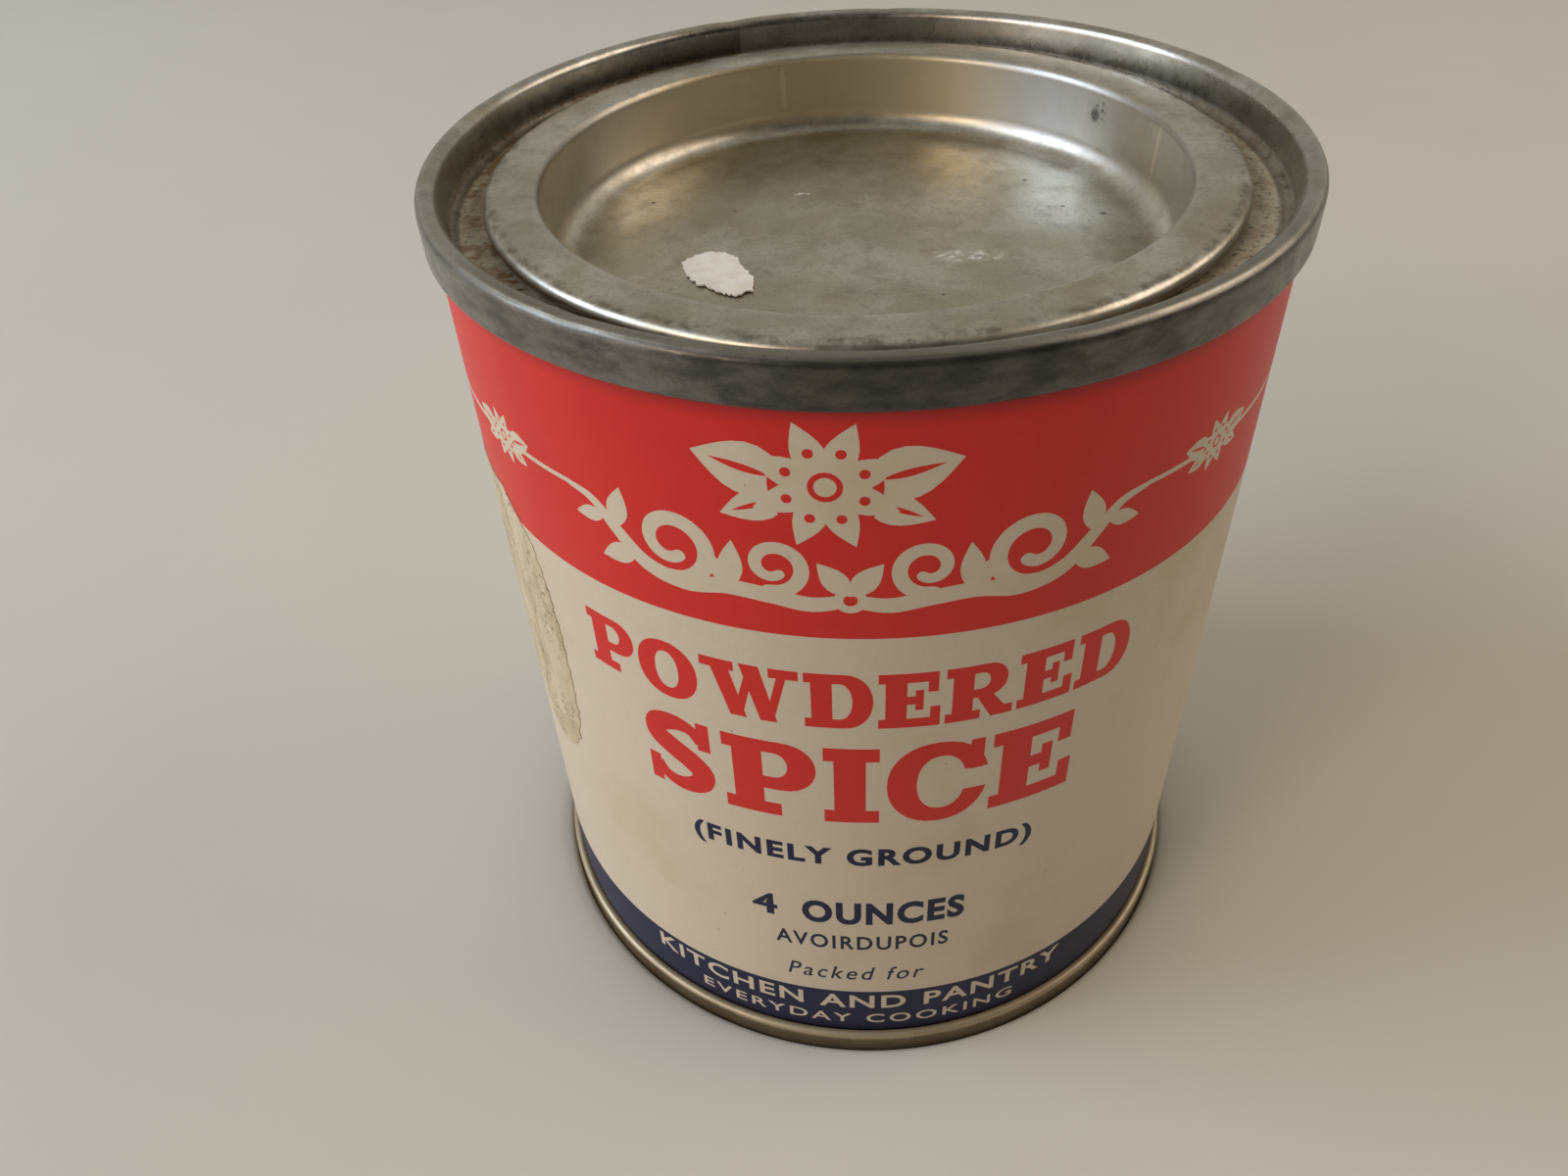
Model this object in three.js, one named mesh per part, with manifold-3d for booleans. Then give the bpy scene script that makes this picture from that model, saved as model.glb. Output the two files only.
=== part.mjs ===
// Small lever-lid tin: tinplate body and ends, push-in lid, paper label and powder.
// Units are millimetres, +Z up, base on z = 0, front of the label towards -Y.
import * as THREE from "three";
import Module from "manifold-3d";
import { mergeVertices } from "three/addons/utils/BufferGeometryUtils.js";

const wasm = await Module();
wasm.setup();
const { Manifold, Mesh } = wasm;

// ---- Driving dimensions -------------------------------------------------------------------
const TIN_HEIGHT = 65.9;
const SEAM_DIAMETER = 57.2;
const SEAM_HEIGHT = 3.1;
const SHEET = 0.25;
const SHEET_GAP = 0.03;
const FACETS = 40;

const LABEL_THICKNESS = 0.16;
const LABEL_GLUE = 0.02;
const LABEL_TOP_GAP = 0.15;
const LABEL_BOTTOM_GAP = 0.15;
const LABEL_LAP_FACETS = 2;

const TROUGH_DEPTH = 2.9;
const THROAT_RADIUS = 21.45;
const THROAT_DEPTH = 5.4;
const LID_FLANGE_RADIUS = 24.7;
const LID_FLANGE_DROP = 1.4;
const LID_PANEL_DEPTH = 7.1;

const COUNTERSINK_DEPTH = 3.4;
const PANEL_STEP = 0.7;

const POWDER_TOP = 50.2;
const SIDE_SEAM_WIDTH = 3.2;

// ---- Radii of the five layers of a double seam, from the outside in, on sheet centrelines ---
const LAYER_PITCH = SHEET + SHEET_GAP;
const SEAM_RADIUS = SEAM_DIAMETER / 2;
const OUTER_WALL = SEAM_RADIUS - SHEET / 2;
const BODY_HOOK = OUTER_WALL - LAYER_PITCH;
const COVER_HOOK = BODY_HOOK - LAYER_PITCH;
const BODY_WALL = COVER_HOOK - LAYER_PITCH;
const CHUCK_WALL = BODY_WALL - LAYER_PITCH;
const SEAM_CORNER = 0.35;
const BODY_ARCH_DROP = 0.735;
const COVER_BEND_HEIGHT = SEAM_HEIGHT - SHEET / 2 - LAYER_PITCH;
const COVER_HOOK_TIP = 0.95;
const BODY_HOOK_TIP = 2.45;

// ---- Helpers ------------------------------------------------------------------------------

// Points of an arc about (radius, height) from one angle to another, in degrees.
function arc(radius, height, bend, from, to, steps) {
  const points = [];
  for (let i = 0; i <= steps; i += 1) {
    const angle = THREE.MathUtils.degToRad(from + ((to - from) * i) / steps);
    points.push([radius + bend * Math.cos(angle), height + bend * Math.sin(angle)]);
  }
  return points;
}

// Mitred normal of a centreline at one of its points, scaled to keep the sheet's thickness.
function mitre(path, index) {
  const before = path[Math.max(index - 1, 0)];
  const here = path[index];
  const after = path[Math.min(index + 1, path.length - 1)];
  const incoming = new THREE.Vector2(here[0] - before[0], here[1] - before[1]);
  const outgoing = new THREE.Vector2(after[0] - here[0], after[1] - here[1]);
  if (incoming.length() === 0) incoming.copy(outgoing);
  if (outgoing.length() === 0) outgoing.copy(incoming);
  incoming.normalize();
  outgoing.normalize();
  const mean = incoming.clone().add(outgoing).normalize();
  const normal = new THREE.Vector2(-mean.y, mean.x);
  return normal.divideScalar(mean.dot(incoming));
}

// Closed outline of a bent sheet: one side of its centreline out, the other side back.
function sheetOutline(path, thickness) {
  const left = [];
  const right = [];
  path.forEach(([x, y], index) => {
    const normal = mitre(path, index).multiplyScalar(thickness / 2);
    left.push([x + normal.x, y + normal.y]);
    right.push([x - normal.x, y - normal.y]);
  });
  return left.concat(right.reverse());
}

// Signed area of an outline: positive when it runs anticlockwise.
function signedArea(outline) {
  return outline.reduce((sum, [x, y], index) => {
    const [nextX, nextY] = outline[(index + 1) % outline.length];
    return sum + (x * nextY - nextX * y) / 2;
  }, 0);
}

// Solid of revolution about Z of an outline given as [radius, height] points.
function turned(outline) {
  const ordered = signedArea(outline) > 0 ? outline : [...outline].reverse();
  const axisStart = ordered.findIndex(
    ([radius], index) => radius < 1e-6 && ordered.at(index - 1)[0] < 1e-6,
  );
  const shift = Math.max(axisStart, 0);
  const rotated = ordered.slice(shift).concat(ordered.slice(0, shift));
  if (axisStart < 0) rotated.push(rotated[0]);
  const points = rotated.map(([radius, height]) => new THREE.Vector2(Math.max(radius, 0), height));
  return new THREE.LatheGeometry(points, FACETS).rotateX(Math.PI / 2);
}

// Turned sheet metal: a bent sheet of the tin's own thickness.
function turnedSheet(path) {
  return turned(sheetOutline(path, SHEET));
}

// Radius, at any angle, of the faceted wall whose corners lie on the given radius.
function facetRadius(radius, angle) {
  const step = (2 * Math.PI) / FACETS;
  const within = ((angle % step) + step) % step;
  return (radius * Math.cos(step / 2)) / Math.cos(within - step / 2);
}

// Point on the tin at an angle from the front of the label, growing towards +X.
function polar(radius, angle) {
  return [radius * Math.sin(angle), -radius * Math.cos(angle)];
}

// Upright prism between two heights over an outline of [x, y] points.
function prism(outline, bottom, top) {
  const shape = new THREE.Shape(outline.map(([x, y]) => new THREE.Vector2(x, y)));
  const geometry = new THREE.ExtrudeGeometry(shape, { depth: top - bottom, bevelEnabled: false });
  return geometry.translate(0, 0, bottom);
}

// A geometry as a manifold-3d solid.
function solid(geometry) {
  const bare = new THREE.BufferGeometry();
  const flat = geometry.index ? geometry.toNonIndexed() : geometry;
  bare.setAttribute("position", flat.getAttribute("position"));
  const merged = mergeVertices(bare, 1e-4);
  return new Manifold(
    new Mesh({
      numProp: 3,
      vertProperties: merged.getAttribute("position").array,
      triVerts: new Uint32Array(merged.index.array),
    }),
  );
}

// A manifold-3d solid as a flat-shaded geometry.
function geometryOf(made) {
  const mesh = made.getMesh();
  const geometry = new THREE.BufferGeometry();
  geometry.setAttribute("position", new THREE.BufferAttribute(mesh.vertProperties, 3));
  geometry.setIndex(new THREE.BufferAttribute(mesh.triVerts, 1));
  const flat = geometry.toNonIndexed();
  flat.computeVertexNormals();
  return flat;
}

// Thin shell wrapped on the tin between columns of { angle, inner, outer, bottom, top }.
function wrappedShell(columns) {
  const corners = [];
  const triangles = [];
  columns.forEach(({ angle, inner, outer, bottom, top }) => {
    const [innerX, innerY] = polar(inner, angle);
    const [outerX, outerY] = polar(outer, angle);
    corners.push(innerX, innerY, bottom, outerX, outerY, bottom);
    corners.push(outerX, outerY, top, innerX, innerY, top);
  });
  const quad = (a, b, c, d) => triangles.push(a, b, c, a, c, d);
  for (let i = 0; i + 1 < columns.length; i += 1) {
    for (let side = 0; side < 4; side += 1) {
      const next = (side + 1) % 4;
      quad(4 * i + side, 4 * i + 4 + side, 4 * i + 4 + next, 4 * i + next);
    }
  }
  const last = 4 * (columns.length - 1);
  quad(0, 1, 2, 3);
  quad(last + 3, last + 2, last + 1, last);
  const geometry = new THREE.BufferGeometry();
  geometry.setAttribute("position", new THREE.Float32BufferAttribute(corners, 3));
  geometry.setIndex(triangles);
  const flat = geometry.toNonIndexed();
  flat.computeVertexNormals();
  return flat;
}

// ---- Materials ----------------------------------------------------------------------------

function tinplate(color) {
  return new THREE.MeshStandardMaterial({ color, metalness: 0.9, roughness: 0.42 });
}

function dull(color, roughness) {
  return new THREE.MeshStandardMaterial({ color, metalness: 0, roughness });
}

// ---- Double seams -------------------------------------------------------------------------

// Centreline of an end's hook, from its tip to the foot of the chuck wall, for a seam whose
// outer face is at `face` and whose depth runs in `direction` (-1 down from the top, +1 up).
function coverHook(face, direction) {
  const at = (depth) => face + direction * depth;
  const turn = (points) => points.map(([radius, depth]) => [radius, at(depth)]);
  const cornerDepth = SHEET / 2 + SEAM_CORNER;
  return turn([
    [COVER_HOOK, COVER_HOOK_TIP],
    ...arc(BODY_HOOK, COVER_BEND_HEIGHT, LAYER_PITCH, 180, 0, 4),
    ...arc(OUTER_WALL - SEAM_CORNER, cornerDepth, SEAM_CORNER, 0, -90, 3),
    ...arc(CHUCK_WALL + SEAM_CORNER, cornerDepth, SEAM_CORNER, -90, -180, 3),
  ]);
}

// Ring of lining compound between the cover hook's tip and the body's arch.
function seamCompound(face, direction) {
  const inner = COVER_HOOK - 0.11;
  const outer = COVER_HOOK + 0.11;
  const near = face + direction * 0.67;
  const far = face + direction * (COVER_HOOK_TIP - 0.04);
  return turned([
    [inner, far],
    [outer, far],
    [outer, near],
    [inner, near],
  ]);
}

// ---- Pieces -------------------------------------------------------------------------------

const SIDE_SEAM_END = 4.4;
const SIDE_SEAM_JOGGLE = 1.6;

// Centreline of the rolled body between its two hooks, as [radius, height] points.
function bodyHalf(face, direction) {
  return [
    [BODY_HOOK, face + direction * BODY_HOOK_TIP],
    ...arc(COVER_HOOK, BODY_ARCH_DROP, LAYER_PITCH, 0, -180, 4).map(([radius, depth]) => [
      radius,
      face + direction * depth,
    ]),
  ];
}

// One end of the body: a short turned ring with its hook.
function bodyEnd(face, direction) {
  const foot = [BODY_WALL, face + direction * (SIDE_SEAM_END + 0.2)];
  return turnedSheet([...bodyHalf(face, direction), foot]);
}

// Place, on the plan, of a point at distance `along` from the side seam's middle line and
// `depth` inside the body's centreline.
function seamPoint(along, depth) {
  const angle = Math.PI - along / BODY_WALL;
  return polar(facetRadius(BODY_WALL, angle) - depth, angle);
}

// Plan centreline of the rolled body with its lock seam: one edge folds inwards over the
// other, which is set in under it and folds outwards into it.
function bodyPlan() {
  const half = SIDE_SEAM_WIDTH / 2;
  const pitch = LAYER_PITCH;
  const step = (2 * Math.PI) / FACETS;
  const fold = (centreAlong, centreDepth, from, to) =>
    arc(centreAlong, centreDepth, pitch, from, to, 4).map(([along, depth]) =>
      seamPoint(along, depth),
    );
  const outerEdge = [
    seamPoint(-half + 0.35, 2 * pitch),
    seamPoint(0, 2 * pitch),
    ...fold(half, pitch, 90, -90),
    seamPoint(0, 0),
  ];
  const seamFacets = Math.floor((half + SIDE_SEAM_JOGGLE) / (step * BODY_WALL));
  const wall = [];
  for (let i = 1; i < FACETS - seamFacets; i += 1) {
    wall.push(polar(BODY_WALL, Math.PI + i * step));
  }
  const innerEdge = [
    seamPoint(half + SIDE_SEAM_JOGGLE, 0),
    seamPoint(half + 0.35, 3 * pitch),
    seamPoint(0, 3 * pitch),
    ...fold(-half, 2 * pitch, 90, 270),
    seamPoint(0, pitch),
    seamPoint(half - 0.35, pitch),
  ];
  return outerEdge.concat(wall, innerEdge);
}

function bodyShell() {
  const facetedSheet = SHEET * Math.cos(Math.PI / FACETS);
  const middle = prism(
    sheetOutline(bodyPlan(), facetedSheet),
    SIDE_SEAM_END,
    TIN_HEIGHT - SIDE_SEAM_END,
  );
  const whole = solid(middle)
    .add(solid(bodyEnd(0, 1)))
    .add(solid(bodyEnd(TIN_HEIGHT, -1)));
  return geometryOf(whole);
}

function sideSeamSolder() {
  const half = SIDE_SEAM_WIDTH / 2;
  const outline = [
    seamPoint(half + 0.48, -SHEET / 2),
    seamPoint(half + 1.25, -SHEET / 2),
    seamPoint(half + 0.72, 0.3),
    seamPoint(half + 0.5, 0.3),
  ];
  return prism(outline, SIDE_SEAM_END + 0.3, TIN_HEIGHT - SIDE_SEAM_END - 0.3);
}

function topRing() {
  const down = (depth) => TIN_HEIGHT - depth;
  const floor = TROUGH_DEPTH + SHEET / 2;
  const bead = 0.775;
  const beadRadius = THROAT_RADIUS + bead;
  const beadDepth = 2.6;
  const rise = 0.35;
  const curl = 0.4;
  return turnedSheet([
    ...coverHook(TIN_HEIGHT, -1),
    ...arc(26.62, down(floor - 0.55), 0.55, 0, -90, 3),
    ...arc(beadRadius + bead + rise, down(floor - rise), rise, 270, 180, 2),
    ...arc(beadRadius, down(beadDepth), bead, 0, 180, 6),
    ...arc(THROAT_RADIUS + curl, down(THROAT_DEPTH), curl, 180, 360, 4),
    [THROAT_RADIUS + 2 * curl, down(THROAT_DEPTH - 0.6)],
  ]);
}

function bottomEnd() {
  const shelf = COUNTERSINK_DEPTH - SHEET / 2;
  const panel = shelf - PANEL_STEP;
  return turnedSheet([
    ...coverHook(0, 1),
    ...arc(26.75, shelf - 0.5, 0.5, 0, 90, 3),
    [25.3, shelf],
    [24.3, panel],
    [0, panel],
  ]);
}

function plugLid() {
  const down = (depth) => TIN_HEIGHT - depth;
  const flange = LID_FLANGE_DROP + SHEET / 2;
  const curl = 0.5;
  const wallTop = THROAT_RADIUS - SHEET - 0.03;
  const mouth = 0.5;
  const foot = 1.9;
  const panel = LID_PANEL_DEPTH + SHEET / 2;
  const curlRadius = LID_FLANGE_RADIUS - SHEET / 2 - curl;
  return turnedSheet([
    ...arc(curlRadius, down(flange + 0.1 + curl), curl, -120, 90, 6),
    [23.4, down(flange)],
    ...arc(wallTop + mouth, down(flange + mouth), mouth, 90, 180, 3),
    ...arc(wallTop - 0.22 - foot, down(panel - foot), foot, -3, -90, 5),
    [12.0, down(panel - 0.15)],
    [0, down(panel - 0.2)],
  ]);
}

function paperLabel() {
  const step = (2 * Math.PI) / FACETS;
  const inner = BODY_WALL + SHEET / 2 + LABEL_GLUE;
  const bottom = SEAM_HEIGHT + LABEL_BOTTOM_GAP;
  const top = TIN_HEIGHT - SEAM_HEIGHT - LABEL_TOP_GAP;
  const lapRise = LABEL_THICKNESS + LABEL_GLUE;
  const columns = [];
  for (let i = 0; i <= FACETS + LABEL_LAP_FACETS; i += 1) {
    const lifted = i >= FACETS - 1 ? inner + lapRise : inner;
    columns.push({
      angle: Math.PI + (i + 2) * step,
      inner: lifted,
      outer: lifted + LABEL_THICKNESS,
      bottom,
      top,
    });
  }
  return wrappedShell(columns);
}

// Film of old adhesive on the left of the label, narrowing to a tip lower down.
function adhesiveStrip() {
  const radius = BODY_WALL + SHEET / 2 + LABEL_GLUE + LABEL_THICKNESS + 0.02;
  const edges = [
    [-74, 25, 17],
    [-72, 29, 17],
    [-67, 36.5, 17],
    [-63, 39.3, 17],
    [-58, 41, 17],
    [-54, 40.8, 18.1],
    [-51.5, 40, 19],
    [-49.5, 38.6, 21],
    [-48, 36.5, 24],
    [-47.2, 33, 29],
  ];
  const columns = edges.map(([degrees, bottomDepth, topDepth]) => {
    const angle = THREE.MathUtils.degToRad(degrees);
    return {
      angle,
      inner: facetRadius(radius, angle),
      outer: facetRadius(radius + 0.06, angle),
      bottom: TIN_HEIGHT - bottomDepth,
      top: TIN_HEIGHT - topDepth,
    };
  });
  return wrappedShell(columns);
}

function powderFill() {
  const bottom = COUNTERSINK_DEPTH + 0.05;
  const radius = BODY_WALL - SHEET / 2 - 0.08;
  const heap = turned([
    [0, bottom],
    [24.6, bottom],
    [26.6, bottom + 0.3],
    [radius, bottom + 1],
    [radius, POWDER_TOP - 1.1],
    [20, POWDER_TOP - 0.6],
    [9, POWDER_TOP],
    [0, POWDER_TOP + 0.1],
  ]);
  const seamRoom = new THREE.BoxGeometry(SIDE_SEAM_WIDTH + 4.4, 3, TIN_HEIGHT);
  seamRoom.translate(0, BODY_WALL + 0.25, TIN_HEIGHT / 2);
  return geometryOf(solid(heap).subtract(solid(seamRoom)));
}

// Scrap of torn white paper lying on the lid's panel.
function lidPaperScrap() {
  const outline = [
    [-12, -3.9],
    [-11.6, -5.7],
    [-10.6, -7.1],
    [-9, -8.3],
    [-7.8, -8.9],
    [-6.8, -8.1],
    [-6.7, -6.4],
    [-7.4, -4.9],
    [-8.3, -3],
    [-9.5, -2.2],
    [-11.3, -2.7],
  ];
  const rest = TIN_HEIGHT - LID_PANEL_DEPTH + 0.2;
  return prism(outline, rest, rest + 0.12);
}

// ---- Assembly -----------------------------------------------------------------------------

const tin = new THREE.Group();
tin.name = "spice_tin";

function addPiece(name, geometry, material) {
  const mesh = new THREE.Mesh(geometry, material);
  mesh.name = name;
  tin.add(mesh);
}

addPiece("body_shell", bodyShell(), tinplate(0x8d8a80));
addPiece("side_seam_solder", sideSeamSolder(), tinplate(0x9a9a98));
addPiece("top_ring", topRing(), tinplate(0x7c786c));
addPiece("top_seam_compound", seamCompound(TIN_HEIGHT, -1), dull(0x8f7a55, 0.8));
addPiece("bottom_end", bottomEnd(), tinplate(0x837f73));
addPiece("bottom_seam_compound", seamCompound(0, 1), dull(0x8f7a55, 0.8));
addPiece("plug_lid", plugLid(), tinplate(0x94917f));
addPiece("paper_label", paperLabel(), dull(0xc9bda3, 0.55));
addPiece("adhesive_strip", adhesiveStrip(), dull(0x9c8a66, 0.7));
addPiece("powder_fill", powderFill(), dull(0xf0eee8, 0.95));
addPiece("lid_paper_scrap", lidPaperScrap(), dull(0xe6e2d6, 0.9));

export default tin;
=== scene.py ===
import math
import random

import bpy
import numpy as np
from mathutils import Matrix, Vector, geometry, noise


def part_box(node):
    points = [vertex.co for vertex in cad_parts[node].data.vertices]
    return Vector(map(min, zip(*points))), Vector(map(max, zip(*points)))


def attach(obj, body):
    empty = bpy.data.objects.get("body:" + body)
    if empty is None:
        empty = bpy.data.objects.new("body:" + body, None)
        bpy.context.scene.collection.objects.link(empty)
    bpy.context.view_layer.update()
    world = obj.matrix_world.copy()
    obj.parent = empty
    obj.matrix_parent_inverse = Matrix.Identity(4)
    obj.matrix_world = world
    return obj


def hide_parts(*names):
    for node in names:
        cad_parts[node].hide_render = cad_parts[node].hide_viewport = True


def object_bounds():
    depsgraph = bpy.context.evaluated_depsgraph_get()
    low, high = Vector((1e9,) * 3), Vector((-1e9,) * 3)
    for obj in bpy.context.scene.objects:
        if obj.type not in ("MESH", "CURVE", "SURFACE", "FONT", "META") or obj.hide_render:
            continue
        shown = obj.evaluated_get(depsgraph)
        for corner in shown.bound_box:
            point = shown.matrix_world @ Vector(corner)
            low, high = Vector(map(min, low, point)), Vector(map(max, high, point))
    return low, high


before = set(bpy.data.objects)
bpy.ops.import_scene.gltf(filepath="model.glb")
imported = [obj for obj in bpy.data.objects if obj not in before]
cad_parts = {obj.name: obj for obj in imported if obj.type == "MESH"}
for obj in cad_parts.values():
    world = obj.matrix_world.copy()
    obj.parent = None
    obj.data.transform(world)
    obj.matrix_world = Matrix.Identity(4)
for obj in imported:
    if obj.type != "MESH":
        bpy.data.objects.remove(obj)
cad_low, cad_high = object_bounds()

# A small lever-lid spice tin. Lengths are in millimetres and become metres where a mesh is made.
# Depths are measured down from the top of the tin, azimuths in degrees from the middle of the
# label's front, growing to the right as seen from the front.

# ---- Dimensions ----------------------------------------------------------------------------
MM = 0.001
TIN_HEIGHT = cad_high.z / MM
SEAM_RADIUS = cad_high.x / MM
SEAM_HEIGHT = 3.1
SHEET = 0.25
LAYER_PITCH = 0.28
SEGMENTS = 240
ARC_STEP = 12

OUTER_WALL = SEAM_RADIUS - SHEET / 2
BODY_HOOK = OUTER_WALL - LAYER_PITCH
COVER_HOOK = BODY_HOOK - LAYER_PITCH
BODY_WALL = COVER_HOOK - LAYER_PITCH
CHUCK_WALL = BODY_WALL - LAYER_PITCH
SEAM_ARCH = (OUTER_WALL - CHUCK_WALL) / 2
COVER_HOOK_TIP = 0.95
BODY_HOOK_TIP = 2.45
BODY_ARCH_DROP = 0.735

THROAT_RADIUS = 21.45
THROAT_DEPTH = 5.4
BEAD_DEPTH = 2.6
TROUGH_DEPTH = 2.9
LID_FLANGE_DROP = 1.4
LID_FLANGE_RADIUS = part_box("plug_lid")[1].x / MM
LID_PANEL_DEPTH = 7.1
COUNTERSINK_DEPTH = 3.4
PANEL_STEP = 0.7
SIDE_SEAM_HALF = 1.6
SIDE_SEAM_END = 4.4

LABEL_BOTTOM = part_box("paper_label")[0].z / MM
LABEL_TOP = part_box("paper_label")[1].z / MM
LABEL_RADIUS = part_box("paper_label")[1].x / MM
LABEL_THICKNESS = 0.16
LABEL_START = -162.0
LABEL_END = 216.0
LAP_RAMP = (180.0, 189.0)
LAP_RISE = 0.18
COLUMN_WIDTH = 1.5
RED_BAND_DEPTH = 18.65
NAVY_BAND_DEPTH = 56.95

POWDER_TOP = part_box("powder_fill")[1].z / MM
SCRAP_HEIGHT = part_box("lid_paper_scrap")[0].z / MM

PAPER, RED, NAVY, BARE_EDGE = range(4)


# ---- Helpers: points, outlines and meshes --------------------------------------------------
def flat_place(azimuth, radius):
    """x and y, in the radius's own unit, of a point at an azimuth in degrees."""
    angle = math.radians(azimuth)
    return radius * math.sin(angle), -radius * math.cos(angle)


def polar(azimuth, radius, height):
    """Point in metres at an azimuth in degrees, with radius and height in millimetres."""
    return Vector((*flat_place(azimuth, radius), height)) * MM


def within(share):
    """The share itself, held between 0 and 1."""
    return min(max(share, 0), 1)


def down(depth):
    return TIN_HEIGHT - depth


def arc(radius, height, bend, start, end):
    """Points of an arc about (radius, height) from one angle to another, in degrees."""
    steps = max(2, math.ceil(abs(end - start) / ARC_STEP))
    angles = [math.radians(start + (end - start) * i / steps) for i in range(steps + 1)]
    return [(radius + bend * math.cos(a), height + bend * math.sin(a)) for a in angles]


def sheet_outline(path, thickness=SHEET):
    """Closed outline of a bent sheet: one side of its centreline out, the other side back."""
    left, right = [], []
    for i, here in enumerate(path):
        before = path[max(i - 1, 0)]
        after = path[min(i + 1, len(path) - 1)]
        incoming = Vector((here[0] - before[0], here[1] - before[1]))
        outgoing = Vector((after[0] - here[0], after[1] - here[1]))
        incoming = (incoming if incoming.length > 0 else outgoing).normalized()
        outgoing = (outgoing if outgoing.length > 0 else incoming).normalized()
        mean = (incoming + outgoing).normalized()
        normal = Vector((-mean.y, mean.x)) * (thickness / 2 / mean.dot(incoming))
        left.append((here[0] + normal.x, here[1] + normal.y))
        right.append((here[0] - normal.x, here[1] - normal.y))
    return left + right[::-1]


def signed_area(outline):
    following = outline[1:] + outline[:1]
    return sum((x0 * y1 - x1 * y0) / 2 for (x0, y0), (x1, y1) in zip(outline, following))


def mesh_object(name, points, faces, materials, sharp_angle=40, inks=None):
    """Smooth-shaded mesh object, creased where its faces meet at more than the sharp angle."""
    mesh = bpy.data.meshes.new(name)
    mesh.from_pydata(points, [], faces)
    for material in materials:
        mesh.materials.append(material)
    if inks is not None:
        mesh.polygons.foreach_set("material_index", inks)
    mesh.polygons.foreach_set("use_smooth", [True] * len(faces))
    mesh.set_sharp_from_angle(angle=math.radians(sharp_angle))
    mesh.update()
    piece = bpy.data.objects.new(name, mesh)
    bpy.context.scene.collection.objects.link(piece)
    return piece


def turned(name, outline, material, shape=None):
    """Solid of revolution of an outline of (radius, height) points.

    shape(azimuth, radius, height) may move a point; it returns its new radius and height.
    """
    if signed_area(outline) < 0:
        outline = outline[::-1]
    points, rings = [], []
    for radius, height in outline:
        count = 1 if radius < 1e-6 else SEGMENTS
        rings.append([len(points) + i % count for i in range(SEGMENTS)])
        for i in range(count):
            azimuth = 360 * i / SEGMENTS
            moved = shape(azimuth, radius, height) if shape else (radius, height)
            points.append(polar(azimuth, *moved))
    faces = []
    for lower, upper in zip(rings, rings[1:] + rings[:1]):
        for i in range(SEGMENTS):
            following = (i + 1) % SEGMENTS
            corners = (lower[i], lower[following], upper[following], upper[i])
            face = tuple(dict.fromkeys(corners))
            if len(face) > 2:
                faces.append(face)
    return mesh_object(name, points, faces, [material])


def smooth_noise(*place):
    return noise.noise(Vector(place))


# ---- Helper: node materials ----------------------------------------------------------------
def srgb(*levels):
    """Linear colour of an sRGB one given in levels from 0 to 255."""
    shares = [level / 255 for level in levels]
    return tuple(s / 12.92 if s <= 0.04045 else ((s + 0.055) / 1.055) ** 2.4 for s in shares)


def darker(tone, share):
    return tuple(share * level for level in tone)


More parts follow.
